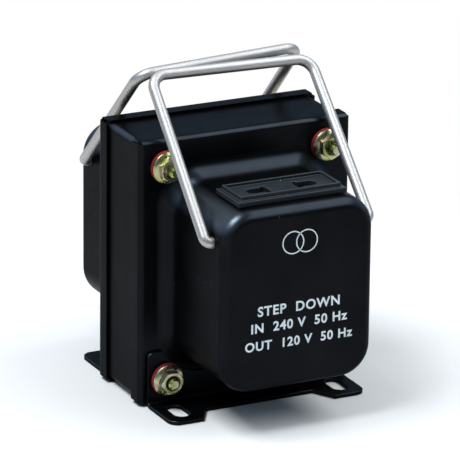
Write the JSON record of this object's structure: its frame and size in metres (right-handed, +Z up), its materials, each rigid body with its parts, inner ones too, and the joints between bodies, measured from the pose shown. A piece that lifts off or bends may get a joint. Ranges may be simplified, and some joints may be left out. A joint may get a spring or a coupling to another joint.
{
  "type": "voltage converter",
  "caption": "Black step-down voltage converter: laminated core between pressed end bells, with swinging wire handles, a pin outlet on top, a side fuse and slotted bracket feet.",
  "frame": {"origin": "on the surface that the feet stand on, under the middle of the core", "axes": "+Z up; the outlet side faces -Y; +X is to the right seen from the outlet side"},
  "size_m": [0.0842, 0.121, 0.1224],
  "materials": {
    "black_steel": "satin black paint on pressed sheet",
    "core_steel": "silicon steel sheet edges",
    "bobbin_nylon": "natural nylon",
    "copper_wire": "enamelled copper wire",
    "coil_tape": "yellow film tape",
    "yellow_zinc": "yellow passivated zinc, slightly iridescent",
    "red_fibre": "vulcanised fibre",
    "bright_wire": "bright satin steel wire",
    "outlet_plastic": "moulded, low gloss",
    "contact_brass": "spring brass",
    "lead_red": "soft insulation",
    "lead_black": "soft insulation",
    "fuse_plastic": "moulded, low gloss",
    "fuse_glass": "clear tube",
    "fuse_ends": "nickel plated cups",
    "gland_rubber": "soft black bushing"
  },
  "bodies": {
    "converter": {"front_cover": "black_steel", "rear_cover": "black_steel", "core_band": "black_steel", "front_foot": "black_steel", "rear_foot": "black_steel", "e_laminations": "core_steel", "i_laminations": "core_steel", "bobbin": "bobbin_nylon", "inner_winding": "copper_wire", "outer_winding": "copper_wire", "coil_tape": "coil_tape", "tie_studs": "yellow_zinc", "front_nuts": "yellow_zinc", "rear_nuts": "yellow_zinc", "front_washers": "red_fibre", "rear_washers": "red_fibre", "outlet_body": "outlet_plastic", "outlet_contacts": "contact_brass", "fuse_terminal": "contact_brass", "outlet_leads": "lead_red", "fuse_lead": "lead_black", "fuse_holder": "fuse_plastic", "fuse_holder_nut": "fuse_plastic", "cord_gland": "gland_rubber"},
    "front_handle": {"front_handle": "bright_wire"},
    "rear_handle": {"rear_handle": "bright_wire"},
    "fuse_carrier": {"fuse_cap": "fuse_plastic", "fuse_glass": "fuse_glass", "fuse_end_caps": "fuse_ends"}
  },
  "joints": [
    {"name": "front_handle_swing", "type": "hinge", "parent": "converter", "child": "front_handle", "pos_m": [0, -0.0515, 0.072], "axis": [1, 0, 0], "range_deg": [0, 210]},
    {"name": "rear_handle_swing", "type": "hinge", "parent": "converter", "child": "rear_handle", "pos_m": [0, 0.0515, 0.072], "axis": [-1, 0, 0], "range_deg": [0, 210]},
    {"name": "fuse_cap_turn", "type": "hinge", "parent": "converter", "child": "fuse_carrier", "pos_m": [0.03, 0.0405, 0.0584], "axis": [1, 0, 0], "range_deg": [0, 90]}
  ]
}
